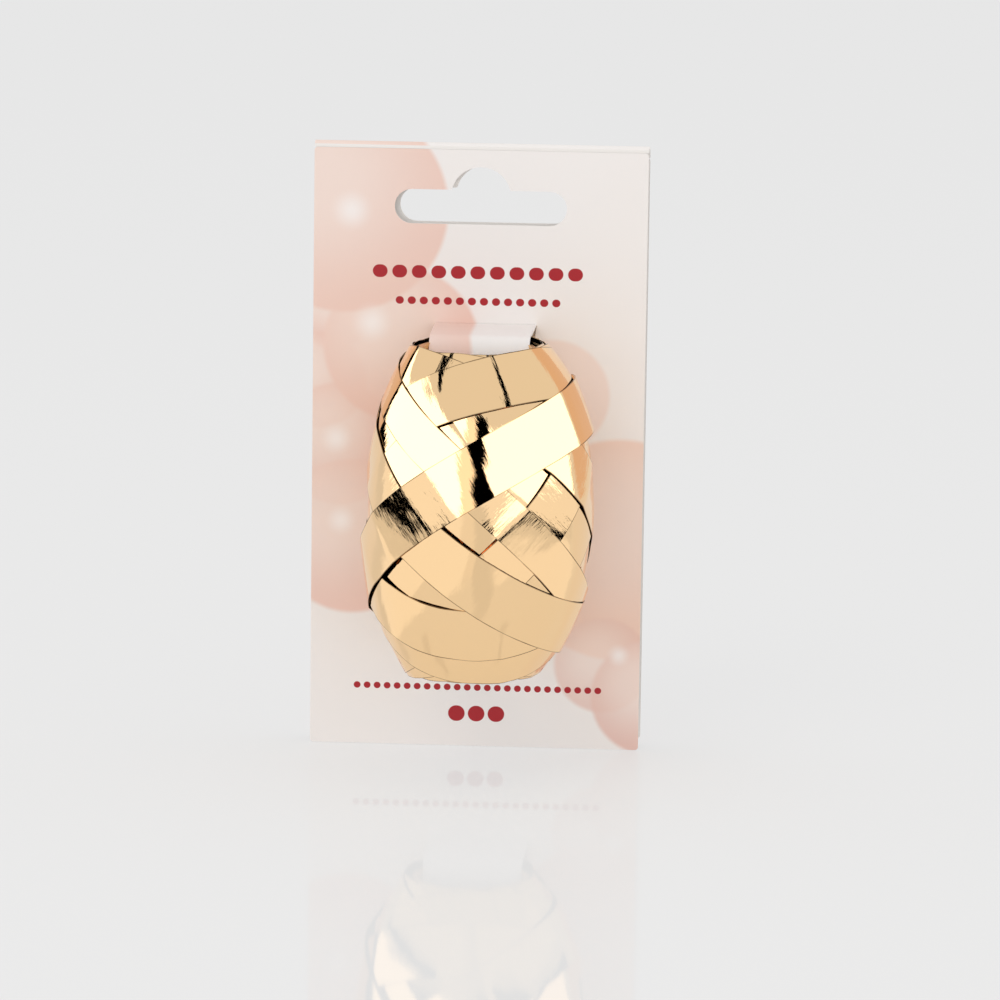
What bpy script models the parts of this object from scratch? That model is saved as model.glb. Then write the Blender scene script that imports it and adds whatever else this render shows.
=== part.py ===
"""Metallic balloon ribbon wound into a hollow egg and carried on a folded hang card.

Frame: metres, +Z up, +X to the right of someone facing the card, -Y towards them.
The origin is the middle of the hang slot, half way through the front panel.

The front panel hangs straight down. The back panel is the same sheet folded over
the top, and stands a little open. Two tongues cut from the front panel bend
forward into the open ends of the egg and hold it, so the egg can turn on them.
The ribbon is one strip: a wound core, then the outer lays, each a band that runs
from a turn near one end of the egg to a turn near the other.
"""
from math import asin, cos, pi, radians, sin, sqrt, tan

import bmesh
import bpy
import numpy as np
from mathutils import Matrix

# Card
CARD_WIDTH = 0.062
CARD_HEIGHT = 0.114
CARD_THICKNESS = 0.0004
CARD_CORNER = 0.0006
FOLD_INNER_RADIUS = 0.0005
FOLD_REST_ANGLE = radians(2)
BACK_PANEL_SHORTFALL = 0.0010
BACK_SIDE_SHIFT = 0.0002
BACK_SLOT_SHIFT = 0.0009
BACK_SLOT_RISE = 0.0002
CREASE_GAP = 0.0003
FOLD_SWING_CLEARANCE = 0.0004

# Hang slot: a bar with round ends and a round bump in the middle of its top edge
SLOT_LENGTH = 0.032
SLOT_HEIGHT = 0.0064
SLOT_BELOW_TOP = 0.0119
SLOT_BUMP_RADIUS = 0.0056
SLOT_BUMP_RISE = 0.0011

# Egg of ribbon
EGG_RADIUS = 0.0214
EGG_LENGTH = 0.0604
BORE_RADIUS = 0.0100
RIM_OVER_BORE = 0.0005
EGG_BELOW_SLOT = 0.0528
EGG_SIDE_SHIFT = 0.0012
EGG_TO_CARD_GAP = 0.0006

# Ribbon
RIBBON_WIDTH = 0.0100
RIBBON_THICKNESS = 0.00012
LAY_GAP = 0.00016
STACKING = 6.7
RIM_LAYS = 6
BELLY_LAYS = 10
RIM_LAY_START = radians(-84)
BELLY_LAY_START = radians(-34)
BELLY_CROSS_SHIFT = radians(-7)
BELLY_TURN_HEIGHT = 0.0200
LAY_STATIONS = 40
LAY_ACROSS = 4

# Tongues that hold the egg
TONGUE_ROOT_CLEARANCE = 0.0009
TONGUE_TIP_CLEARANCE = 0.0035
TONGUE_SHORT_OF_AXIS = 0.0030
TONGUE_BEND_RADIUS = 0.0045
TONGUE_OVER_RIM = 0.0005
TONGUE_CUT_CLEARANCE = 0.0004
TONGUE_LIFT = radians(75)
TONGUE_LIFT_CLEARANCE = 0.00006
WINDOW_BRIDGE = 0.0058

# Colours, linear
GOLD = (0.89, 0.58, 0.26, 1.0)
DEEP_GOLD = (0.78, 0.46, 0.18, 1.0)
CARD_PRINT = (0.86, 0.74, 0.69, 1.0)
CARD_BACK = (0.82, 0.79, 0.76, 1.0)

CARD_TOP = SLOT_BELOW_TOP
CARD_BOTTOM = CARD_TOP - CARD_HEIGHT
CARD_FRONT_Y = -CARD_THICKNESS / 2
CARD_BACK_Y = CARD_THICKNESS / 2
FOLD_Y = CARD_BACK_Y + FOLD_INNER_RADIUS
FOLD_Z = CARD_TOP - FOLD_INNER_RADIUS - CARD_THICKNESS
EGG_X = EGG_SIDE_SHIFT
EGG_Y = CARD_FRONT_Y - EGG_TO_CARD_GAP - EGG_RADIUS
EGG_Z = -EGG_BELOW_SLOT
EGG_HALF = EGG_LENGTH / 2
RIM_RADIUS = BORE_RADIUS + RIM_OVER_BORE
LAYERS_DEEP = STACKING * (RIM_LAYS + BELLY_LAYS) * RIBBON_WIDTH / (2 * pi * EGG_RADIUS)
LAY_BUILD_UP = LAYERS_DEEP * (RIBBON_THICKNESS + LAY_GAP)
CORE_RADIUS = EGG_RADIUS - LAY_BUILD_UP - RIBBON_THICKNESS
CORE_POLE = EGG_HALF / sqrt(1 - (RIM_RADIUS / CORE_RADIUS) ** 2)
TONGUE_RISE = EGG_HALF + TONGUE_OVER_RIM + CARD_THICKNESS / 2
TONGUE_CREASE_GAP = CARD_THICKNESS / 2 * tan(TONGUE_LIFT) + TONGUE_LIFT_CLEARANCE
TONGUE_ROOT_WIDTH = 2 * (BORE_RADIUS - TONGUE_ROOT_CLEARANCE)
TONGUE_TIP_WIDTH = 2 * (BORE_RADIUS - TONGUE_TIP_CLEARANCE)
TONGUE_REACH = EGG_TO_CARD_GAP + EGG_RADIUS - TONGUE_SHORT_OF_AXIS
TONGUE_CENTRE_REACH = TONGUE_REACH - TONGUE_BEND_RADIUS
TONGUE_LENGTH = TONGUE_RISE - WINDOW_BRIDGE / 2 - TONGUE_CUT_CLEARANCE
TONGUE_DIP = TONGUE_LENGTH - TONGUE_CENTRE_REACH - TONGUE_BEND_RADIUS * pi / 2

PARTS = "ribbon_egg_on_card"


def clear_scene():
    for item in list(bpy.data.objects):
        bpy.data.objects.remove(item, do_unlink=True)


def collection(name):
    group = bpy.data.collections.new(name)
    bpy.context.scene.collection.children.link(group)
    return group


def material(name, colour, roughness, metallic):
    mat = bpy.data.materials.new(name)
    mat.use_nodes = True
    shader = mat.node_tree.nodes["Principled BSDF"]
    shader.inputs["Base Color"].default_value = colour
    shader.inputs["Roughness"].default_value = roughness
    shader.inputs["Metallic"].default_value = metallic
    mat.diffuse_color = colour
    return mat


def mesh_object(name, mesh, group, mat=None):
    thing = bpy.data.objects.new(name, mesh)
    group.objects.link(thing)
    if mat:
        thing.data.materials.append(mat)
    return thing


def flat_outline(name, loops, thickness, group):
    """A flat sheet in XZ, `thickness` thick about y = 0, from closed outlines of points.

    The first outline is the edge, and any others are holes through it.
    """
    curve = bpy.data.curves.new(name, "CURVE")
    curve.dimensions = "2D"
    curve.fill_mode = "BOTH"
    curve.extrude = thickness / 2
    for points in loops:
        spline = curve.splines.new("POLY")
        spline.points.add(len(points) - 1)
        spline.use_cyclic_u = True
        for slot, (x, z) in zip(spline.points, points):
            slot.co = (x, z, 0, 1)
    flat = bpy.data.objects.new(name + "_outline", curve)
    group.objects.link(flat)
    flat.rotation_euler = (pi / 2, 0, 0)
    bpy.context.view_layer.update()
    graph = bpy.context.evaluated_depsgraph_get()
    mesh = bpy.data.meshes.new_from_object(flat.evaluated_get(graph))
    mesh.transform(flat.matrix_world)
    bm = bmesh.new()
    bm.from_mesh(mesh)
    bmesh.ops.remove_doubles(bm, verts=bm.verts, dist=1e-6)
    bmesh.ops.recalc_face_normals(bm, faces=bm.faces)
    bm.to_mesh(mesh)
    bm.free()
    bpy.data.objects.remove(flat, do_unlink=True)
    mesh.name = name
    return mesh


def arc(centre, radius, start, end, steps):
    return [(centre[0] + radius * cos(start + (end - start) * i / steps),
             centre[1] + radius * sin(start + (end - start) * i / steps))
            for i in range(steps + 1)]


def rounded_rectangle(x0, x1, z0, z1, radius, steps=3):
    corners = [((x1 - radius, z1 - radius), 0), ((x0 + radius, z1 - radius), pi / 2),
               ((x0 + radius, z0 + radius), pi), ((x1 - radius, z0 + radius), 3 * pi / 2)]
    points = []
    for centre, start in corners:
        points += arc(centre, radius, start, start + pi / 2, steps)
    return points


def slot_outline(shift=0.0, rise=0.0):
    """The hang slot, round its bar and over the bump, anticlockwise from the right end."""
    end = SLOT_HEIGHT / 2
    span = SLOT_LENGTH / 2 - end
    bump_centre = end + SLOT_BUMP_RISE - SLOT_BUMP_RADIUS + SLOT_HEIGHT / 2
    foot = asin((end - bump_centre) / SLOT_BUMP_RADIUS)
    points = arc((span, 0), end, -pi / 2, pi / 2, 12)
    points += arc((0, bump_centre), SLOT_BUMP_RADIUS, foot, pi - foot, 14)
    points += arc((-span, 0), end, pi / 2, 3 * pi / 2, 12)
    return [(x + shift, z + rise) for x, z in points]


def tongue_half_width(along):
    """Half the tongue's width at a distance from its crease; its last stretch is rounded."""
    tip_round = TONGUE_TIP_WIDTH / 2
    taper = min(along / (TONGUE_LENGTH - tip_round), 1)
    half = (TONGUE_ROOT_WIDTH + (TONGUE_TIP_WIDTH - TONGUE_ROOT_WIDTH) * taper) / 2
    past = along - (TONGUE_LENGTH - tip_round)
    if past > 0:
        half *= sqrt(max(1 - (past / tip_round) ** 2, 0)) * 0.35 + 0.65
    return half


def tongue_window(side, steps=10):
    """The cut that the tongue leaves in the front panel, from its crease towards the middle."""
    crease = EGG_Z + side * TONGUE_RISE
    right = []
    for i in range(steps + 1):
        along = TONGUE_LENGTH * i / steps
        half = tongue_half_width(along) + TONGUE_CUT_CLEARANCE
        right.append((EGG_X + half, crease - side * (along + TONGUE_CUT_CLEARANCE * (i == steps))))
    left = [(2 * EGG_X - x, z) for x, z in reversed(right)]
    points = right + left
    return points if side < 0 else list(reversed(points))


def front_panel(group, mat):
    edge = rounded_rectangle(-CARD_WIDTH / 2, CARD_WIDTH / 2, CARD_BOTTOM, FOLD_Z - CREASE_GAP, CARD_CORNER)
    loops = [edge, slot_outline(), tongue_window(1), tongue_window(-1)]
    mesh = flat_outline("card_front_panel", loops, CARD_THICKNESS, group)
    return mesh_object("card_front_panel", mesh, group, mat)


def top_fold(group, mat):
    """The rolled crease: an arc of sheet over the top, from the front panel to the back one."""
    outer = FOLD_INNER_RADIUS + CARD_THICKNESS
    profile = arc((FOLD_Y, FOLD_Z), outer, pi, FOLD_REST_ANGLE, 10)
    profile += reversed(arc((FOLD_Y, FOLD_Z), FOLD_INNER_RADIUS, pi, FOLD_REST_ANGLE, 10))
    bm = bmesh.new()
    ring = [bm.verts.new((-CARD_WIDTH / 2, y, z)) for y, z in profile]
    face = bm.faces.new(ring)
    grown = bmesh.ops.extrude_face_region(bm, geom=[face])
    moved = [v for v in grown["geom"] if isinstance(v, bmesh.types.BMVert)]
    bmesh.ops.translate(bm, verts=moved, vec=(CARD_WIDTH, 0, 0))
    bmesh.ops.recalc_face_normals(bm, faces=bm.faces)
    mesh = bpy.data.meshes.new("card_top_fold")
    bm.to_mesh(mesh)
    bm.free()
    return mesh_object("card_top_fold", mesh, group, mat)


def back_panel(group, mat):
    """Modelled straight down from the fold's axis, then swung open about it."""
    top = -(FOLD_INNER_RADIUS + CARD_THICKNESS + FOLD_SWING_CLEARANCE)
    bottom = CARD_BOTTOM - FOLD_Z + BACK_PANEL_SHORTFALL
    edge = rounded_rectangle(-CARD_WIDTH / 2 + BACK_SIDE_SHIFT, CARD_WIDTH / 2 + BACK_SIDE_SHIFT,
                             bottom, top, CARD_CORNER)
    slot = slot_outline(BACK_SLOT_SHIFT, BACK_SLOT_RISE - FOLD_Z)
    mesh = flat_outline("card_back_panel", [edge, slot], CARD_THICKNESS, group)
    mesh.transform(Matrix.Translation((0, FOLD_INNER_RADIUS + CARD_THICKNESS / 2, 0)))
    panel = mesh_object("card_back_panel", mesh, group, mat)
    panel.location = (0, FOLD_Y, FOLD_Z)
    panel.rotation_euler = (FOLD_REST_ANGLE, 0, 0)
    return panel


def tongue(name, side, group, mat):
    """A tongue bent forward at its crease and down (or up) into the egg's open end."""
    straight = 4
    bend = 8
    dip = 4
    length = TONGUE_CENTRE_REACH - TONGUE_CREASE_GAP
    path = [(TONGUE_CREASE_GAP + length * i / straight, 0.0) for i in range(straight)]
    for i in range(bend + 1):
        turn = pi / 2 * i / bend
        path.append((TONGUE_CENTRE_REACH + TONGUE_BEND_RADIUS * sin(turn), TONGUE_BEND_RADIUS * (1 - cos(turn))))
    path += [(TONGUE_REACH, TONGUE_BEND_RADIUS + TONGUE_DIP * i / dip) for i in range(1, dip + 1)]
    bm = bmesh.new()
    rows = []
    along = TONGUE_CREASE_GAP
    for i, (out, down) in enumerate(path):
        if i:
            along += sqrt((out - path[i - 1][0]) ** 2 + (down - path[i - 1][1]) ** 2)
        half = tongue_half_width(min(along, TONGUE_LENGTH))
        rows.append([bm.verts.new((x, -out, -side * down)) for x in (-half, 0, half)])
    for row, after in zip(rows, rows[1:]):
        for j in range(2):
            bm.faces.new((row[j], row[j + 1], after[j + 1], after[j]))
    bmesh.ops.recalc_face_normals(bm, faces=bm.faces)
    mesh = bpy.data.meshes.new(name)
    bm.to_mesh(mesh)
    bm.free()
    leaf = mesh_object(name, mesh, group, mat)
    leaf.location = (EGG_X, CARD_FRONT_Y, EGG_Z + side * TONGUE_RISE)
    sheet = leaf.modifiers.new("sheet", "SOLIDIFY")
    sheet.thickness = CARD_THICKNESS
    sheet.offset = 0
    return leaf


class EggSurface:
    """An ellipsoid of revolution about Z; `grow` makes it that much larger all round."""

    def __init__(self, grow=0.0):
        self.radius = CORE_RADIUS + grow
        self.pole = CORE_POLE + grow

    def girth(self, z):
        return self.radius * np.sqrt(np.maximum(1 - (z / self.pole) ** 2, 1e-9))

    def slope(self, z):
        return -self.radius ** 2 * z / (self.pole ** 2 * self.girth(z))


def rim_turn_height():
    """How high a lay's middle turns so that its edge just reaches the rim."""
    egg = EggSurface()
    z = EGG_HALF
    left = RIBBON_WIDTH / 2
    step = 1e-5
    while left > 0:
        left -= step * sqrt(1 + float(egg.slope(np.float64(z))) ** 2)
        z -= step
    return z


def lay_path(turn_height, middle, rising, stations):
    """Longitude and height of a taut strip's middle line, from one turn to the other.

    A taut strip follows a geodesic, and on a turned body its girth times the cosine
    of its climb stays the same (Clairaut), which gives longitude against height.
    """
    egg = EggSurface()
    phase = np.linspace(-pi / 2, pi / 2, stations + 1)
    fine = np.linspace(-pi / 2, pi / 2, 40 * stations + 1)
    mid = (fine[1:] + fine[:-1]) / 2
    z = turn_height * np.sin(mid)
    waist = egg.girth(np.float64(turn_height))
    rate = waist * np.sqrt(1 + egg.slope(z) ** 2) / (egg.girth(z) * egg.radius / egg.pole)
    turned = np.concatenate([[0], np.cumsum(rate * np.diff(fine))])
    turned -= turned[-1] / 2
    longitude = np.interp(phase, fine, turned) + middle
    height = turn_height * np.sin(phase)
    return longitude, height if rising else -height


def lay_grid(turn_height, middle, rising, stations, across):
    """Longitude and height of each point of the strip, stations along by points across."""
    egg = EggSurface()
    longitude, height = lay_path(turn_height, middle, rising, stations)
    girth = egg.girth(height)
    centre = np.stack([girth * np.sin(longitude), -girth * np.cos(longitude), height], 1)
    along = np.gradient(centre, axis=0)
    along /= np.linalg.norm(along, axis=1)[:, None]
    normal = np.stack([centre[:, 0] / egg.radius ** 2, centre[:, 1] / egg.radius ** 2,
                       centre[:, 2] / egg.pole ** 2], 1)
    normal /= np.linalg.norm(normal, axis=1)[:, None]
    side = np.cross(normal, along)
    offsets = np.linspace(-RIBBON_WIDTH / 2, RIBBON_WIDTH / 2, across + 1)
    points = centre[:, None, :] + side[:, None, :] * offsets[None, :, None]
    grow = np.sqrt((points[..., 0] ** 2 + points[..., 1] ** 2) / egg.radius ** 2
                   + points[..., 2] ** 2 / egg.pole ** 2)
    points /= grow[..., None]
    return np.arctan2(points[..., 0], -points[..., 1]), points[..., 2]


class BuildUp:
    """How high the ribbon already stands above the core, on a longitude by height grid."""

    COLUMNS = 240
    ROWS = 80

    def __init__(self):
        self.top = np.zeros((self.COLUMNS, self.ROWS))

    def cells(self, longitude, height):
        column = np.round(longitude / (2 * pi) * self.COLUMNS).astype(int) % self.COLUMNS
        row = np.round((height / EGG_HALF + 1) / 2 * (self.ROWS - 1)).astype(int)
        return column, np.clip(row, 0, self.ROWS - 1)

    def under(self, longitude, height, reach=2):
        column, row = self.cells(longitude, height)
        highest = np.zeros(longitude.shape)
        for i in range(-reach, reach + 1):
            for j in range(-reach, reach + 1):
                near = self.top[(column + i) % self.COLUMNS, np.clip(row + j, 0, self.ROWS - 1)]
                highest = np.maximum(highest, near)
        return highest

    def cover(self, longitude, height, top):
        column, row = self.cells(longitude, height)
        np.maximum.at(self.top, (column, row), top)


def lift_over(build_up, longitude, height, station_length):
    """How far each station stands off the core: over what is there, and taut between."""
    lift = build_up.under(longitude, height).max(axis=1) + LAY_GAP
    dip = station_length ** 2 / (2 * EGG_RADIUS)
    for _ in range(60):
        bridged = (lift[:-2] + lift[2:]) / 2 - dip
        lift[1:-1] = np.maximum(lift[1:-1], bridged)
    return lift


def lay(name, turn_height, middle, rising, build_up, group, mat, parent):
    """One outer lay of the ribbon, as a strip that lies over the lays before it."""
    longitude, height = lay_grid(turn_height, middle, rising, LAY_STATIONS, LAY_ACROSS)
    run = np.hypot(np.gradient(height[:, LAY_ACROSS // 2]),
                   np.gradient(np.unwrap(longitude[:, LAY_ACROSS // 2])) * EGG_RADIUS)
    lift = lift_over(build_up, longitude, height, float(run.mean()))
    bm = bmesh.new()
    rows = []
    for i in range(LAY_STATIONS + 1):
        egg = EggSurface(float(lift[i]))
        girth = EggSurface().girth(height[i])
        normal_r = girth / egg.radius ** 2
        normal_z = height[i] / egg.pole ** 2
        size = np.hypot(normal_r, normal_z)
        out = girth + lift[i] * normal_r / size
        up = height[i] + lift[i] * normal_z / size
        rows.append([bm.verts.new((out[j] * sin(longitude[i, j]), -out[j] * cos(longitude[i, j]), up[j]))
                     for j in range(LAY_ACROSS + 1)])
    for row, after in zip(rows, rows[1:]):
        for j in range(LAY_ACROSS):
            bm.faces.new((row[j], row[j + 1], after[j + 1], after[j]))
    mesh = bpy.data.meshes.new(name)
    bm.to_mesh(mesh)
    bm.free()
    if sum((p.normal.dot(p.center) for p in mesh.polygons), 0.0) < 0:
        mesh.flip_normals()
    strip = mesh_object(name, mesh, group, mat)
    strip.parent = parent
    sheet = strip.modifiers.new("strip", "SOLIDIFY")
    sheet.thickness = RIBBON_THICKNESS
    sheet.offset = 1
    fine_longitude, fine_height = lay_grid(turn_height, middle, rising, 6 * LAY_STATIONS, 6 * LAY_ACROSS)
    fine_lift = np.interp(np.linspace(0, 1, 6 * LAY_STATIONS + 1), np.linspace(0, 1, LAY_STATIONS + 1), lift)
    top = np.repeat(fine_lift[:, None] + RIBBON_THICKNESS, 6 * LAY_ACROSS + 1, axis=1)
    build_up.cover(fine_longitude, fine_height, top)
    return strip


def core(group, mat, parent):
    """The inner windings: a turned barrel with a bore, its rims a ribbon's edge thick."""
    egg = EggSurface()
    steps = 18
    top = egg.pole * sqrt(1 - ((BORE_RADIUS + 0.0006) / egg.radius) ** 2)
    top = min(top, EGG_HALF - 2 * LAY_GAP)
    outline = [(float(egg.girth(np.float64(top * cos(pi * i / steps)))), top * cos(pi * i / steps))
               for i in range(steps + 1)]
    outline += [(BORE_RADIUS, -top), (BORE_RADIUS, top)]
    bm = bmesh.new()
    ring = [bm.verts.new((r, 0, z)) for r, z in outline]
    for a, b in zip(ring, ring[1:] + ring[:1]):
        bm.edges.new((a, b))
    mesh = bpy.data.meshes.new("ribbon_core")
    bm.to_mesh(mesh)
    bm.free()
    barrel = mesh_object("ribbon_core", mesh, group, mat)
    barrel.parent = parent
    turn = barrel.modifiers.new("turn", "SCREW")
    turn.steps = 48
    turn.render_steps = 48
    turn.use_merge_vertices = True
    turn.merge_threshold = 0.00001
    return barrel


def build():
    clear_scene()
    parts = collection(PARTS)
    gold = material("gold_foil_ribbon", GOLD, 0.16, 1.0)
    deep_gold = material("gold_foil_inner", DEEP_GOLD, 0.25, 1.0)
    print_side = material("printed_card", CARD_PRINT, 0.4, 0.0)
    plain_side = material("card_reverse", CARD_BACK, 0.55, 0.0)
    front_panel(parts, print_side)
    top_fold(parts, print_side)
    back_panel(parts, plain_side)
    tongue("top_tongue", 1, parts, print_side)
    tongue("bottom_tongue", -1, parts, print_side)
    axis = bpy.data.objects.new("egg_axis", None)
    parts.objects.link(axis)
    axis.location = (EGG_X, EGG_Y, EGG_Z)
    core(parts, deep_gold, axis)
    build_up = BuildUp()
    rim_turn = rim_turn_height()
    for i in range(RIM_LAYS):
        middle = RIM_LAY_START + 2 * pi * i / RIM_LAYS
        lay("rim_lay_%02d" % (i + 1), rim_turn, middle, i % 2 == 0, build_up, parts, gold, axis)
    pairs = BELLY_LAYS // 2
    for i in range(BELLY_LAYS):
        rising = i % 2 == 0
        middle = BELLY_LAY_START + 2 * pi * (i // 2) / pairs + (0 if rising else BELLY_CROSS_SHIFT)
        lay("belly_lay_%02d" % (i + 1), BELLY_TURN_HEIGHT, middle, rising, build_up, parts, gold, axis)


build()
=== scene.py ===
"""Looks of the gold ribbon egg on its folded hang card, built round the fixed CAD frame."""

from math import cos, pi, radians, sin, sqrt

import bmesh
import bpy
import numpy as np
from mathutils import Matrix, Vector


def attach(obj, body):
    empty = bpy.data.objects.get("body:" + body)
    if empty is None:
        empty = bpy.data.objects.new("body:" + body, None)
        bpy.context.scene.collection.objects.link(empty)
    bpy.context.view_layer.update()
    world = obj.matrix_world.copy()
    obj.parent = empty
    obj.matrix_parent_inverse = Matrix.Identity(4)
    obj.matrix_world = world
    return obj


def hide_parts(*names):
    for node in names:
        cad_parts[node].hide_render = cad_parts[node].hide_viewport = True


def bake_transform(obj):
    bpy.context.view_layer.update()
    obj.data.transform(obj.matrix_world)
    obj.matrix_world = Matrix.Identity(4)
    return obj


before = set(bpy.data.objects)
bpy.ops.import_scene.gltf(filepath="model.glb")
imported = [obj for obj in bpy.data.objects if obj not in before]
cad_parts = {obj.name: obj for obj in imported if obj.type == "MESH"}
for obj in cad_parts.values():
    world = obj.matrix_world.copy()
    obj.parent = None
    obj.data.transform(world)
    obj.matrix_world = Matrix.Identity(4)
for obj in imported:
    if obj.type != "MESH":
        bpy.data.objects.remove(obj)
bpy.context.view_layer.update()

# Egg, metres; centre and ribbon width as in the CAD part. The bare body is a little smaller
# than the CAD egg, because the strips pile up on it.
EGG_CENTRE = np.array([0.0012, -0.0222, -0.0528])
GIRTH_RADIUS = 0.0191
EGG_HALF = 0.0295
RIM_RADIUS = 0.0106
RIBBON_WIDTH = 0.0100
FILM = 0.00007  # film thickness
FILM_GAP = 0.00003  # between one film and the next
EDGE_BAND = 0.00028  # width of the row of faces along each cut edge
LEAN = 0.0009  # how far the belly of the winding sits to the right of the rims
PAST_TURN = 1.1  # how far a strip runs, as a share of the way to its turn
PAST_TURN_IN_SIGHT = 1.5
INNER_GRID = (72, 4)  # faces along and across each strip
OUTER_GRID = (150, 8)
POLE = EGG_HALF / sqrt(1 - (RIM_RADIUS / GIRTH_RADIUS) ** 2)

# Card
CARD_BOTTOM = -0.1021
CARD_HALF_WIDTH = 0.031
CARD_THICKNESS = 0.0004
FOLD_Y, FOLD_Z = 0.0007, 0.0110
FOLD_RADIUS = 0.0005
FOLD_REST_ANGLE = radians(2)
BACK_SIDE_SHIFT = 0.0002
TONGUE_RISE = 0.0309  # crease above or below the egg centre
TONGUE_REACH = 0.0190
TONGUE_BEND_RADIUS = 0.0045
TONGUE_DIP = 0.0060
TONGUE_ROOT_HALF = 0.0094
TONGUE_TIP_HALF = 0.0092


def colour(code):
    """sRGB hex to linear RGBA."""
    parts = [int(code[i:i + 2], 16) / 255 for i in (1, 3, 5)]
    return tuple(c / 12.92 if c <= 0.04045 else ((c + 0.055) / 1.055) ** 2.4 for c in parts) + (1.0,)


def add(tree, kind, settings=None, links=None):
    """Adds a node; `settings` sets its properties, `links` its inputs, from sockets or values."""
    item = tree.nodes.new(kind)
    for key, value in (settings or {}).items():
        setattr(item, key, value)
    for key, value in (links or {}).items():
        if isinstance(value, bpy.types.NodeSocket):
            tree.links.new(value, item.inputs[key])
        else:
            item.inputs[key].default_value = value
    return item


def linked_piece(name, bm, mat):
    """Puts a finished bmesh in the scene, at the origin."""
    mesh = bpy.data.meshes.new(name)
    bm.to_mesh(mesh)
    bm.free()
    mesh.materials.append(mat)
    piece = bpy.data.objects.new(name, mesh)
    bpy.context.scene.collection.objects.link(piece)
    return piece


def bare_material(name):
    mat = bpy.data.materials.new(name)
    mat.use_nodes = True
    mat.node_tree.nodes.clear()
    return mat, mat.node_tree


def new_material(name):
    mat = bpy.data.materials.new(name)
    mat.use_nodes = True
    return mat, mat.node_tree, mat.node_tree.nodes["Principled BSDF"]


# ---------------------------------------------------------------- materials

def foil_material(name, tint, roughness, hair):
    """Gold metallised film. Fine lines run across the strip, from how the film was drawn.

    `hair` is how deep those lines are, in metres. The cut edges are painted dark: partly the film's own
    dark edge, and partly painted shadow of the gap under the lifted edge, deeper in some places than in
    others.
    """
    mat, tree, shader = new_material(name)
    place = add(tree, "ShaderNodeUVMap", {"uv_map": "strip"})
    fine = add(tree, "ShaderNodeMapping", None,
               {"Vector": place.outputs["UV"], "Scale": (1900, 260, 1)})
    hairs = add(tree, "ShaderNodeTexNoise", None,
                {"Vector": fine.outputs["Vector"], "Scale": 1.0, "Detail": 3.0, "Roughness": 0.6})
    broad = add(tree, "ShaderNodeMapping", None,
                {"Vector": place.outputs["UV"], "Scale": (330, 190, 1)})
    sag = add(tree, "ShaderNodeTexNoise", None,
              {"Vector": broad.outputs["Vector"], "Scale": 1.0, "Detail": 1.0, "Roughness": 0.4})
    slow = add(tree, "ShaderNodeBump", None,
               {"Height": sag.outputs["Fac"], "Strength": 1.0, "Distance": 0.00006})
    bump = add(tree, "ShaderNodeBump", None,
               {"Height": hairs.outputs["Fac"], "Strength": 1.0, "Distance": hair,
                "Normal": slow.outputs["Normal"]})
    tree.links.new(bump.outputs["Normal"], shader.inputs["Normal"])
    # Painted shadow along the cut edges: brown is mixed in near each edge, partly the film's dark edge
    # and partly the gap's shadow; noise varies its depth.
    edge = add(tree, "ShaderNodeAttribute", {"attribute_name": "edge_distance"})
    near = add(tree, "ShaderNodeMapRange", None,
               {"Value": edge.outputs["Fac"], "From Min": 0.00017, "From Max": 0.00010})
    along = add(tree, "ShaderNodeMapping", None,
                {"Vector": place.outputs["UV"], "Scale": (120, 0, 1)})
    edge_shadow_noise = add(tree, "ShaderNodeTexNoise", None,
               {"Vector": along.outputs["Vector"], "Scale": 1.0, "Detail": 1.0, "Roughness": 0.5})
    shown = add(tree, "ShaderNodeMapRange", None,
                {"Value": edge_shadow_noise.outputs["Fac"], "From Min": 0.35, "From Max": 0.62,
                 "To Min": 0.35, "To Max": 0.95})
    dark = product(tree, near.outputs["Result"], shown.outputs["Result"])
    cut = mixed(tree, dark, colour(tint), colour("#4A2D12"))
    tree.links.new(cut, shader.inputs["Base Color"])
    shader.inputs["Metallic"].default_value = 1.0
    shader.inputs["Roughness"].default_value = roughness
    return mat


def subtract(tree, a, b):
    return add(tree, "ShaderNodeMath", {"operation": "SUBTRACT"}, {0: a, 1: b}).outputs[0]


def falloff(tree, x, z, centre, radius, soft):
    """1 inside a circle, 0 outside, fading over `soft` at its edge. All in metres."""
    across = add(tree, "ShaderNodeCombineXYZ", None,
                 {"X": subtract(tree, x, centre[0]), "Z": subtract(tree, z, centre[1])})
    far = add(tree, "ShaderNodeVectorMath", {"operation": "LENGTH"}, {0: across.outputs[0]})
    step = add(tree, "ShaderNodeMapRange", {"interpolation_type": "SMOOTHSTEP"},
               {"Value": far.outputs["Value"],
                "From Min": radius + soft / 2, "From Max": radius - soft / 2})
    return step.outputs["Result"]


def row_mask(tree, x, z, x0, x1, middle, half, pitch, fill):
    """1 inside a row of short bars with round ends, one each `pitch`, from x0 to x1."""
    place = add(tree, "ShaderNodeMath", {"operation": "MODULO"}, {0: subtract(tree, x, x0), 1: pitch})
    from_middle = subtract(tree, place.outputs[0], pitch / 2)
    side = add(tree, "ShaderNodeMath", {"operation": "ABSOLUTE"}, {0: from_middle})
    reach = max(pitch * fill / 2 - half, 0.0)
    past = add(tree, "ShaderNodeMath", {"operation": "MAXIMUM"},
               {0: subtract(tree, side.outputs[0], reach), 1: 0.0})
    across = add(tree, "ShaderNodeCombineXYZ", None,
                 {"X": past.outputs[0], "Z": subtract(tree, z, middle)})
    far = add(tree, "ShaderNodeVectorMath", {"operation": "LENGTH"}, {0: across.outputs[0]})
    size = min(half, pitch * fill / 2)
    step = add(tree, "ShaderNodeMapRange", None,
               {"Value": far.outputs["Value"], "From Min": size + 0.00004, "From Max": size - 0.00004})
    inside = add(tree, "ShaderNodeMath", {"operation": "COMPARE"},
                 {0: x, 1: (x0 + x1) / 2, 2: (x1 - x0) / 2})
    return add(tree, "ShaderNodeMath", {"operation": "MULTIPLY"},
               {0: step.outputs["Result"], 1: inside.outputs[0]}).outputs[0]


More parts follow.
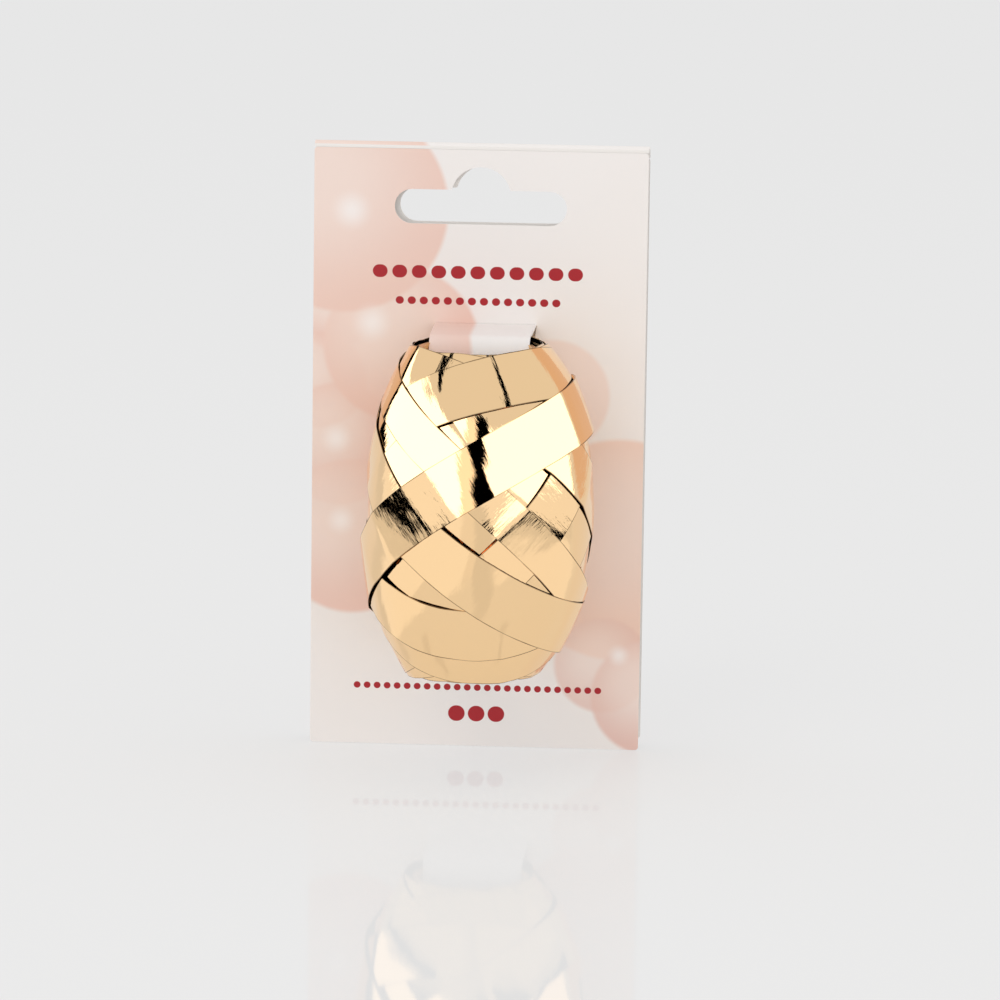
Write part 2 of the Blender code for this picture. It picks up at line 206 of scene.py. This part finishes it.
def mixed(tree, mask, below, above):
    """`above` over `below`, where each is a colour or a colour socket."""
    mix = add(tree, "ShaderNodeMix", {"data_type": "RGBA"}, {0: mask, 6: below, 7: above})
    return mix.outputs[2]


def product(tree, a, b):
    return add(tree, "ShaderNodeMath", {"operation": "MULTIPLY"}, {0: a, 1: b}).outputs[0]


# Printed balloons: middle x, middle z, radius in millimetres, colour, strength
BALLOONS = [
    (-12.0, -67.0, 8.0, "#F6DFD3", 0.5),
    (27.0, -64.0, 21.0, "#F5CCB6", 0.85),
    (14.0, -35.0, 10.5, "#F6DDD2", 0.7),
    (24.0, -86.0, 9.0, "#EBC2B4", 0.7),
    (33.0, -92.0, 11.0, "#E9BCAE", 0.85),
    (-27.0, -20.0, 7.0, "#F0C8BA", 0.9),
    (-30.0, -33.0, 9.0, "#EFC3B4", 0.9),
    (-26.0, -45.0, 11.5, "#F0C6B7", 0.9),
    (-23.5, -62.5, 14.5, "#F2CCBE", 0.9),
    (-14.5, -26.0, 14.5, "#F3CFC1", 0.95),
    (-25.5, -0.5, 19.5, "#F4D3C6", 1.0),
]
# Soft highlights on them: middle x, middle z, radius
HIGHLIGHTS = [
    (-24.0, -1.0, 4.5), (-20.0, -22.0, 4.5), (-26.5, -44.0, 3.6), (-25.5, -59.5, 3.4),
    (27.0, -84.0, 2.6),
]
# Rows of generic printed marks, millimetres: x0, x1, middle z, half height, pitch, filled share
MARKS = [(-20.4, 19.6, -12.2, 1.20, 3.636, 0.76), (-16.0, 15.4, -17.6, 0.72, 2.243, 0.68),
         (-23.1, 24.2, -90.9, 0.62, 1.892, 0.68), (-5.2, 6.0, -95.9, 1.50, 3.733, 0.84)]


def print_colour(tree, plain):
    """Pale peach balloons on off-white, on X and Z, with rows of red marks unless `plain`."""
    place = add(tree, "ShaderNodeTexCoord")
    parts = add(tree, "ShaderNodeSeparateXYZ", None, {0: place.outputs["Object"]})
    x, z = parts.outputs["X"], parts.outputs["Z"]
    cloud = add(tree, "ShaderNodeTexNoise", None,
                {"Vector": place.outputs["Object"], "Scale": 28.0, "Detail": 1.0, "Roughness": 0.4})
    ink = mixed(tree, cloud.outputs["Fac"], colour("#FAF7F5"), colour("#F6EFEB"))
    for cx, cz, radius, tint, strength in BALLOONS:
        cx, cz, radius = cx / 1000, cz / 1000, radius / 1000
        body = falloff(tree, x, z, (cx, cz), radius, 0.0012)
        shade = falloff(tree, x, z, (cx - 0.2 * radius, cz + 0.25 * radius), radius * 0.72, radius * 1.1)
        skin = mixed(tree, shade, colour(tint), colour("#F8E3D9"))
        ink = mixed(tree, product(tree, body, strength), ink, skin)
    for cx, cz, radius in HIGHLIGHTS:
        glow = falloff(tree, x, z, (cx / 1000, cz / 1000), radius / 1000 * 0.5, radius / 1000)
        ink = mixed(tree, product(tree, glow, 0.75), ink, colour("#FFFBF9"))
    if not plain:
        for x0, x1, middle, half, pitch, fill in MARKS:
            lengths = [value / 1000 for value in (x0, x1, middle, half, pitch)]
            ink = mixed(tree, row_mask(tree, x, z, *lengths, fill), ink, colour("#AE1522"))
    return ink


def printed_card(name, side, plain=False):
    """Coated card printed on the face towards `side`; its cut edges and reverse stay white.

    `plain` leaves the red marks out. Fine grain keeps the white from being flat.
    """
    mat, tree, shader = new_material(name)
    place = add(tree, "ShaderNodeTexCoord")
    facing = add(tree, "ShaderNodeVectorMath", {"operation": "DOT_PRODUCT"},
                 {0: place.outputs["Normal"], 1: side})
    front = add(tree, "ShaderNodeMath", {"operation": "GREATER_THAN"},
                {0: facing.outputs["Value"], 1: 0.35})
    ink = mixed(tree, front.outputs[0], colour("#F4F0EC"), print_colour(tree, plain))
    grain = add(tree, "ShaderNodeTexNoise", None,
                {"Vector": place.outputs["Object"], "Scale": 2600.0, "Detail": 3.0, "Roughness": 0.6})
    bump = add(tree, "ShaderNodeBump", None,
               {"Height": grain.outputs["Fac"], "Strength": 0.25, "Distance": 0.00002})
    tree.links.new(bump.outputs["Normal"], shader.inputs["Normal"])
    tree.links.new(ink, shader.inputs["Base Color"])
    shader.inputs["Roughness"].default_value = 0.42
    shader.inputs["Specular IOR Level"].default_value = 0.35
    return mat


# ---------------------------------------------------------------- ribbon

def girth(z):
    return GIRTH_RADIUS * np.sqrt(np.maximum(1 - (z / POLE) ** 2, 1e-6))


def lay_line(top, bottom, middle, rising, stations, over):
    """Longitude and height of a taut strip's middle line between its turns, `over` past each.

    On a turned body a taut strip's girth times the cosine of its climb stays the same.
    """
    reach = pi / 2 * over
    fine = np.linspace(-reach, reach, 12 * stations + 1)
    half = (fine[1:] + fine[:-1]) / 2
    swing, level = (top + bottom) / 2, (top - bottom) / 2
    z = level + swing * np.sin(half)
    waist = girth(np.float64(swing))
    slope = -GIRTH_RADIUS ** 2 * z / (POLE ** 2 * girth(z))
    rate = waist * np.sqrt(1 + slope ** 2) * POLE / (girth(z) * GIRTH_RADIUS)
    turned = np.concatenate([[0], np.cumsum(rate * np.diff(fine))])
    turned -= np.interp(-level / swing, fine, turned)
    phase = np.linspace(-reach, reach, stations + 1)
    longitude = np.interp(phase, fine, turned)
    height = level + swing * np.sin(phase)
    if not rising:
        longitude, height = -longitude[::-1], height[::-1]
    return longitude + middle, height


class Pile:
    """How high the ribbon stands above the bare body, on a longitude by height grid."""

    COLUMNS, ROWS = 640, 260

    def __init__(self):
        self.top = np.zeros((self.COLUMNS, self.ROWS))

    def cells(self, points):
        longitude = np.arctan2(points[..., 0], -points[..., 1])
        column = np.round(longitude / (2 * pi) * self.COLUMNS).astype(int) % self.COLUMNS
        row = np.round((points[..., 2] / 0.031 + 1) / 2 * (self.ROWS - 1)).astype(int)
        return column, np.clip(row, 0, self.ROWS - 1)

    def under(self, points):
        column, row = self.cells(points)
        highest = np.zeros(column.shape)
        for i in (-1, 0, 1):
            for j in (-1, 0, 1):
                near = self.top[(column + i) % self.COLUMNS, np.clip(row + j, 0, self.ROWS - 1)]
                highest = np.maximum(highest, near)
        return highest

    def cover(self, points, top):
        column, row = self.cells(points)
        np.maximum.at(self.top, (column, row), top)


def taut(run, obstacle):
    """The least string, pulled tight, that passes over every obstacle: an upper hull."""
    keep = []
    for i in range(len(run)):
        while len(keep) > 1:
            a, b = keep[-2], keep[-1]
            to_last = (obstacle[b] - obstacle[a]) * (run[i] - run[a])
            if to_last <= (obstacle[i] - obstacle[a]) * (run[b] - run[a]):
                keep.pop()
            else:
                break
        keep.append(i)
    return np.interp(run, run[keep], obstacle[keep])


def lay_points(spec, pile, stations, across):
    """Points of one strip, stations by across, laid over the pile, and the run along it."""
    top, bottom, middle, rising, flat, roll, width, over = spec
    longitude, height = lay_line(top, bottom, radians(middle), rising, stations, over)
    around = girth(height)
    centre = np.stack([around * np.sin(longitude), -around * np.cos(longitude), height], 1)
    along = np.gradient(centre, axis=0)
    step = np.linalg.norm(along, axis=1)
    along /= step[:, None]
    normal = np.stack([centre[:, 0] / GIRTH_RADIUS ** 2, centre[:, 1] / GIRTH_RADIUS ** 2,
                       centre[:, 2] / POLE ** 2], 1)
    weight = np.linalg.norm(normal, axis=1)
    normal /= weight[:, None]
    side = np.cross(normal, along)
    run = np.concatenate([[0], np.cumsum((step[1:] + step[:-1]) / 2)])

    def bend(direction):
        level = (direction[:, 0] ** 2 + direction[:, 1] ** 2) / GIRTH_RADIUS ** 2
        return (level + direction[:, 2] ** 2 / POLE ** 2) / weight

    inner = np.linspace(-width / 2 + EDGE_BAND, width / 2 - EDGE_BAND, across - 1)
    s = np.concatenate([[-width / 2], inner, [width / 2]])
    stand = bend(side)[:, None] * s[None, :] ** 2 / 2
    base = (centre[:, None, :] + side[:, None, :] * s[None, :, None]
            - normal[:, None, :] * stand[..., None])
    rise = stand * flat + roll * s[None, :]
    need = (pile.under(base) - rise).max(axis=1) + FILM_GAP
    drop = np.cumsum(np.cumsum(bend(along) * step) * step)
    drop -= np.linspace(0, drop[-1], len(drop))
    lift = taut(run, need - drop) + drop
    edge = np.minimum(run, run[-1] - run)
    lift -= 0.0002 * np.clip(1 - edge / 0.004, 0, 1)
    total = lift[:, None] + rise
    return base, normal, total, run, s


def fine_cover(base, normal, total, pile):
    """Fills in the pile between the strip's own points."""
    grow = 4
    n, m = total.shape
    a = np.linspace(0, n - 1, (n - 1) * grow + 1)
    b = np.linspace(0, m - 1, (m - 1) * grow + 1)

    def spread(values):
        first = np.stack([np.interp(a, np.arange(n), values[:, j]) for j in range(m)], 1)
        return np.stack([np.interp(b, np.arange(m), first[i]) for i in range(len(a))], 0)

    points = np.stack([spread(base[..., k]) for k in range(3)], -1)
    pile.cover(points, spread(total) + FILM)


def strips(name, specs, pile, stations, across, mat):
    """One piece holding these strips, each laid over all before it."""
    bm = bmesh.new()
    uv = bm.loops.layers.uv.new("strip")
    edge_distance = bm.verts.layers.float.new("edge_distance")
    for number, spec in enumerate(specs):
        base, normal, total, run, s = lay_points(spec, pile, stations, across)
        fine_cover(base, normal, total, pile)
        places = base + normal[:, None, :] * total[..., None] + EGG_CENTRE
        places[..., 0] += LEAN * (1 - (places[..., 2] - EGG_CENTRE[2]) ** 2 / EGG_HALF ** 2)
        grid = [[bm.verts.new(places[i, j]) for j in range(across + 1)] for i in range(stations + 1)]
        for row in grid:
            for vert, offset in zip(row, s):
                vert[edge_distance] = spec[6] / 2 - abs(offset)
        for i in range(stations):
            for j in range(across):
                face = bm.faces.new((grid[i][j], grid[i + 1][j], grid[i + 1][j + 1], grid[i][j + 1]))
                face.smooth = True
                corners = ((i, j), (i + 1, j), (i + 1, j + 1), (i, j + 1))
                for loop, (p, q) in zip(face.loops, corners):
                    loop[uv].uv = (run[p] + 0.37 * number, s[q])
    for edge in bm.edges:
        edge.smooth = not edge.is_boundary
    bm.normal_update()
    piece = linked_piece(name, bm, mat)
    film = piece.modifiers.new("film", "SOLIDIFY")
    film.thickness = FILM
    film.offset = -1
    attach(piece, "ribbon_egg")
    return piece


def under_specs(cycles):
    """Earlier windings: the same weave, each cycle turned on a little."""
    rng = np.random.default_rng(11)
    specs = []
    for cycle in range(cycles):
        drift = 3.4 * (cycle - cycles) + 1.0
        for k in range(10):
            turn = 0.0252 + rng.uniform(-0.0003, 0.0003)
            specs.append((turn, turn, -35 + 36.5 * ((3 * k) % 10) + drift, True, 0.12,
                          rng.uniform(-0.01, 0.01), RIBBON_WIDTH, PAST_TURN))
            specs.append((turn, turn, 20 - 36.5 * ((3 * k) % 10) - drift, False, 0.12,
                          rng.uniform(-0.01, 0.01), RIBBON_WIDTH, PAST_TURN))
    return specs


# Outer strips, oldest first: top turn and bottom turn (mm), longitude of the middle (degrees),
# rising to the right or not, how flat across, roll (slope across), width (mm)
OUTER = [
    (25.6, 25.6, 182, 1, 0.3, 0.00, 10.0),
    (25.6, 25.6, 168, 0, 0.3, 0.01, 10.0),
    (25.6, 25.6, 146, 1, 0.3, 0.00, 10.0),
    (25.6, 25.6, -160, 0, 0.3, 0.00, 10.0),
    (25.6, 25.6, 218, 1, 0.3, -0.01, 10.0),
    (25.6, 25.6, 130, 0, 0.3, 0.01, 10.0),
    (25.6, 25.6, 110, 1, 0.3, 0.00, 10.0),
    (25.6, 25.6, -108, 1, 0.3, 0.00, 10.0),
    (25.6, 25.6, 5, 1, 0.2, 0.00, 10.0),
    (25.6, 25.6, 3, 0, 0.2, 0.00, 10.0),
    (25.6, 25.6, 61, 0, 0.2, 0.00, 10.0),
    (25.6, 25.6, 2, 1, 0.3, 0.00, 10.0),
    (25.6, 25.6, 74, 1, 0.3, 0.00, 10.0),
    (25.2, 25.2, -1, 0, 0.4, 0.01, 10.0),
    (26.0, 26.0, 37, 1, 0.4, -0.01, 10.0),
    (25.6, 25.6, 92, 0, 0.3, 0.00, 10.0),
    (25.6, 25.6, -49, 1, 0.4, -0.07, 10.0),
    (25.9, 25.6, -70, 1, 0.4, -0.07, 10.0),
    (25.6, 24.6, -76, 0, 0.3, 0.00, 10.0),
    (25.6, 25.0, -134, 0, 0.2, 0.00, 10.0),
    (25.6, 19.6, -130, 0, 0.2, -0.06, 10.0),
    (24.6, 25.2, 22.5, 0, 0.4, 0.00, 7.8),
    (25.2, 20.4, -38, 0, 0.4, 0.01, 10.0),
    (18.8, 25.2, -39, 1, 0.5, 0.01, 10.4),
]
# These turn in plain sight at the front, so they run on past the turn
RUN_ON = (-134, -130)


def build_ribbon():
    front = foil_material("gold_metallised_ribbon_film", "#FFDAA8", 0.04, 0.000017)
    # The windings beneath get a darker copy of the same film's tint: painted shade for the film seen in
    # the gaps under the outer strips.
    inner = foil_material("gold_ribbon_film_inner_painted_shade", "#F4CC92", 0.10, 0.000017)
    pile = Pile()
    under = strips("ribbon_inner_windings", under_specs(1), pile, *INNER_GRID, inner)
    specs = []
    for top, bottom, middle, rising, flat, roll, width in OUTER:
        over = PAST_TURN_IN_SIGHT if middle in RUN_ON else PAST_TURN
        specs.append((top / 1000, bottom / 1000, middle, bool(rising), flat, roll, width / 1000, over))
    outer = strips("ribbon_outer_windings", specs, pile, *OUTER_GRID, front)
    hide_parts(*["rim_lay_%02d" % (i + 1) for i in range(6)])
    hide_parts(*["belly_lay_%02d" % (i + 1) for i in range(10)])
    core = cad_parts["ribbon_core"].data
    core.materials.clear()
    core.materials.append(core_material())


def core_material():
    """Gold film wound round the bore: its edges show as fine rings."""
    mat, tree, shader = new_material("gold_film_wound_core")
    place = add(tree, "ShaderNodeTexCoord")
    rings = add(tree, "ShaderNodeMapping", None,
                {"Vector": place.outputs["Object"], "Scale": (150, 150, 2600)})
    wave = add(tree, "ShaderNodeTexNoise", None,
               {"Vector": rings.outputs[0], "Scale": 1.0, "Detail": 2.0, "Roughness": 0.6})
    bump = add(tree, "ShaderNodeBump", None,
               {"Height": wave.outputs["Fac"], "Strength": 0.6, "Distance": 0.0002})
    tree.links.new(bump.outputs["Normal"], shader.inputs["Normal"])
    shader.inputs["Base Color"].default_value = colour("#E2B676")
    shader.inputs["Metallic"].default_value = 1.0
    shader.inputs["Roughness"].default_value = 0.3
    return mat


def sheet_piece(name, path, half_widths, mat):
    """A strip of card along a path of (y, z) points.

    `half_widths` gives each point's middle x and how wide the card is each side of it.
    """
    bm = bmesh.new()
    rows = []
    for (y, z), (x0, half) in zip(path, half_widths):
        rows.append([bm.verts.new((x0 + half * t, y, z)) for t in np.linspace(-1, 1, 9)])
    for row, after in zip(rows, rows[1:]):
        for j in range(8):
            face = bm.faces.new((row[j], row[j + 1], after[j + 1], after[j]))
            face.smooth = True
    bmesh.ops.recalc_face_normals(bm, faces=bm.faces)
    for edge in bm.edges:
        edge.smooth = not edge.is_boundary
    piece = linked_piece(name, bm, mat)
    sheet = piece.modifiers.new("card", "SOLIDIFY")
    sheet.thickness = CARD_THICKNESS
    sheet.offset = 0
    return piece


def tongue_piece(name, node, side, mat):
    """A tongue from its crease at the panel's front, forward over the rim and down into the bore."""
    crease = EGG_CENTRE[2] + side * TONGUE_RISE
    widths = []
    straight = TONGUE_REACH - TONGUE_BEND_RADIUS
    bend = [radians(9 * i) for i in range(11)]
    path = [(-0.0001 - (straight - 0.0001) * i / 14, crease) for i in range(14)]
    path += [(-straight - TONGUE_BEND_RADIUS * sin(a), crease - side * TONGUE_BEND_RADIUS * (1 - cos(a)))
             for a in bend]
    path += [(-TONGUE_REACH, crease - side * (TONGUE_BEND_RADIUS + TONGUE_DIP * i / 8))
             for i in range(1, 9)]
    path = [(y - 0.0002, z) for y, z in path]
    length = straight + TONGUE_BEND_RADIUS * pi / 2 + TONGUE_DIP
    along = 0.0
    for i, point in enumerate(path):
        if i:
            along += sqrt((point[0] - path[i - 1][0]) ** 2 + (point[1] - path[i - 1][1]) ** 2)
        tip = length - TONGUE_TIP_HALF
        half = TONGUE_ROOT_HALF + (TONGUE_TIP_HALF - TONGUE_ROOT_HALF) * min(along / tip, 1)
        past = along - tip
        if past > 0:
            half *= sqrt(max(1 - (past / TONGUE_TIP_HALF) ** 2, 0)) * 0.35 + 0.65
        widths.append((EGG_CENTRE[0], half))
    piece = sheet_piece(name, path, widths, mat)
    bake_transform(piece)
    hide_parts(node)


def fold_piece(mat):
    """The rolled crease over the top, from the front panel's edge to the back panel's."""
    path = [(0, FOLD_Z - 0.00028), (0, FOLD_Z - 0.00014)]
    middle = FOLD_RADIUS + CARD_THICKNESS / 2
    path += [(FOLD_Y + middle * cos(a), FOLD_Z + middle * sin(a))
             for a in np.linspace(pi, FOLD_REST_ANGLE, 17)]
    out, down = cos(FOLD_REST_ANGLE), sin(FOLD_REST_ANGLE)
    path += [(FOLD_Y + out * middle + d * down, FOLD_Z + down * middle - d * out)
             for d in (0.0004, 0.0008, 0.00128)]
    shift = [min(1, i / (len(path) - 1)) * BACK_SIDE_SHIFT for i in range(len(path))]
    piece = sheet_piece("card_fold_sheet", path, [(x, CARD_HALF_WIDTH) for x in shift], mat)
    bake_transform(piece)
    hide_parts("card_top_fold")


def build_card():
    front = printed_card("coated_card_printed_front", (0, -1, 0))
    tongue = printed_card("coated_card_printed_tongue", (0, 0, 1), True)
    under = printed_card("coated_card_printed_lower_tongue", (0, 0, -1), True)
    fold = printed_card("coated_card_printed_fold", (0, 0, 1), True)
    back = printed_card("coated_card_back_panel", (0, 1, 0), True)
    for node, mat in (("card_front_panel", front), ("card_back_panel", back)):
        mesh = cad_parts[node].data
        mesh.materials.clear()
        mesh.materials.append(mat)
    tongue_piece("top_tongue_sheet", "top_tongue", 1, tongue)
    tongue_piece("bottom_tongue_sheet", "bottom_tongue", -1, under)
    fold_piece(fold)


# ---------------------------------------------------------------- stage

def emission(name, tint, strength):
    mat, tree = bare_material(name)
    glow = add(tree, "ShaderNodeEmission", None, {"Color": colour(tint), "Strength": strength})
    out = add(tree, "ShaderNodeOutputMaterial", None, {"Surface": glow.outputs[0]})
    out.is_active_output = True
    return mat


def seen_in_reflections_only(thing):
    thing.visible_camera = False
    thing.visible_diffuse = False
    thing.visible_shadow = False
    thing.visible_transmission = False


def sky_patch(name, azimuths, elevations, distance, mat):
    """Part of a sphere round the egg. Azimuth 0 is in front (-Y) and grows to the right."""
    bm = bmesh.new()
    steps_a = max(2, int((azimuths[1] - azimuths[0]) / 4))
    steps_e = max(2, int((elevations[1] - elevations[0]) / 4))
    grid = []
    for i in range(steps_a + 1):
        a = radians(azimuths[0] + (azimuths[1] - azimuths[0]) * i / steps_a)
        row = []
        for j in range(steps_e + 1):
            e = radians(elevations[0] + (elevations[1] - elevations[0]) * j / steps_e)
            place = EGG_CENTRE + distance * np.array([sin(a) * cos(e), -cos(a) * cos(e), sin(e)])
            row.append(bm.verts.new(place))
        grid.append(row)
    for i in range(steps_a):
        for j in range(steps_e):
            bm.faces.new((grid[i][j], grid[i + 1][j], grid[i + 1][j + 1], grid[i][j + 1]))
    seen_in_reflections_only(linked_piece(name, bm, mat))


def build_stage():
    world = bpy.data.worlds.new("studio_air")
    bpy.context.scene.world = world
    world.use_nodes = True
    air = world.node_tree.nodes["Background"]
    air.inputs["Color"].default_value = colour("#FFFFFF")
    air.inputs["Strength"].default_value = 0.805

    bm = bmesh.new()
    bmesh.ops.create_grid(bm, x_segments=1, y_segments=1, size=1.0)
    bmesh.ops.scale(bm, verts=bm.verts, vec=(3.5, 4.6, 1))
    bmesh.ops.translate(bm, verts=bm.verts, vec=(0, 1.5, CARD_BOTTOM - 0.0001))
    mat, tree = bare_material("pale_acrylic_floor")
    plain = add(tree, "ShaderNodeBsdfDiffuse", None, {"Color": colour("#A0A0A0")})
    glow = add(tree, "ShaderNodeEmission", None, {"Color": colour("#FFFFFF"), "Strength": 0.51})
    shine = add(tree, "ShaderNodeBsdfGlossy", None, {"Color": (1, 1, 1, 1), "Roughness": 0.04})
    body = add(tree, "ShaderNodeAddShader", None, {0: plain.outputs[0], 1: glow.outputs[0]})
    mix = add(tree, "ShaderNodeMixShader", None, {0: 0.10, 1: body.outputs[0], 2: shine.outputs[0]})
    add(tree, "ShaderNodeOutputMaterial", None, {"Surface": mix.outputs[0]})
    floor = linked_piece("floor", bm, mat)

    soft = emission("softbox_white", "#FFFDFA", 2.3)
    right = emission("softbox_white_lower", "#FFFBF8", 2.15)
    grey = emission("softbox_edge", "#FFF4E8", 1.25)
    peach = emission("card_glow", "#F2D3BF", 0.85)
    black = emission("black_card", "#000000", 0.0)
    sky_patch("softbox_left", (-118, -14), (-2, 27), 1.9, soft)
    sky_patch("softbox_edge_left", (-14, -3), (-2, 27), 1.9, grey)
    sky_patch("softbox_right", (13, 112), (-2, 26), 1.9, right)
    sky_patch("left_gap", (-128, -118), (-8, 34), 1.7, black)
    sky_patch("left_wall", (-165, -128), (-30, 50), 1.6, peach)
    sky_patch("right_wall", (118, 165), (-30, 50), 1.6, peach)
    sky_patch("camera_shadow", (-3, 13), (-14, 31), 0.8, black)
    sky_patch("boom_left", (-67, -59), (34, 66), 1.2, black)
    sky_patch("boom_right", (33, 42), (36, 66), 1.2, black)
    sky_patch("table_edge_left", (-118, -30), (-12, -7), 0.27, black)
    sky_patch("table_edge_right", (22, 112), (-12, -7), 0.27, black)


def build_lights():
    lamps = (("key", (-0.5, -0.9, 0.9), 0.7, 2.2), ("fill", (0.8, -0.8, 0.5), 0.9, 0.8))
    for name, place, size, power in lamps:
        lamp = bpy.data.lights.new(name, "AREA")
        lamp.size = size
        lamp.energy = power
        lamp.color = (1.0, 0.98, 0.95)
        thing = bpy.data.objects.new(name, lamp)
        bpy.context.scene.collection.objects.link(thing)
        thing.location = place
        aim = Vector((0, 0, -0.05)) - Vector(place)
        thing.rotation_euler = aim.to_track_quat("-Z", "Y").to_euler()
        thing.visible_glossy = False


def build_camera():
    """Level with the egg, a little to the right and above, with a slight roll."""
    azimuth, elevation, roll = radians(3.5), radians(10.05), radians(0.816)
    back = Vector((sin(azimuth) * cos(elevation), -cos(azimuth) * cos(elevation), sin(elevation)))
    right = Vector((cos(azimuth), sin(azimuth), 0))
    up = back.cross(right)
    right, up = right * cos(roll) + up * sin(roll), up * cos(roll) - right * sin(roll)
    lens = bpy.data.cameras.new("camera")
    lens.sensor_width = 36
    lens.lens = 5345.7 / 1000 * 36
    lens.clip_start, lens.clip_end = 0.05, 20
    thing = bpy.data.objects.new("camera", lens)
    bpy.context.scene.collection.objects.link(thing)
    turn = Matrix((right, up, back)).transposed().to_4x4()
    target = Vector((0.00432, 0, -0.05496))
    thing.matrix_world = Matrix.Translation(target + back) @ turn
    bpy.context.scene.camera = thing


build_card()
build_ribbon()
build_stage()
build_lights()
build_camera()
bpy.context.scene.view_settings.view_transform = "Standard"
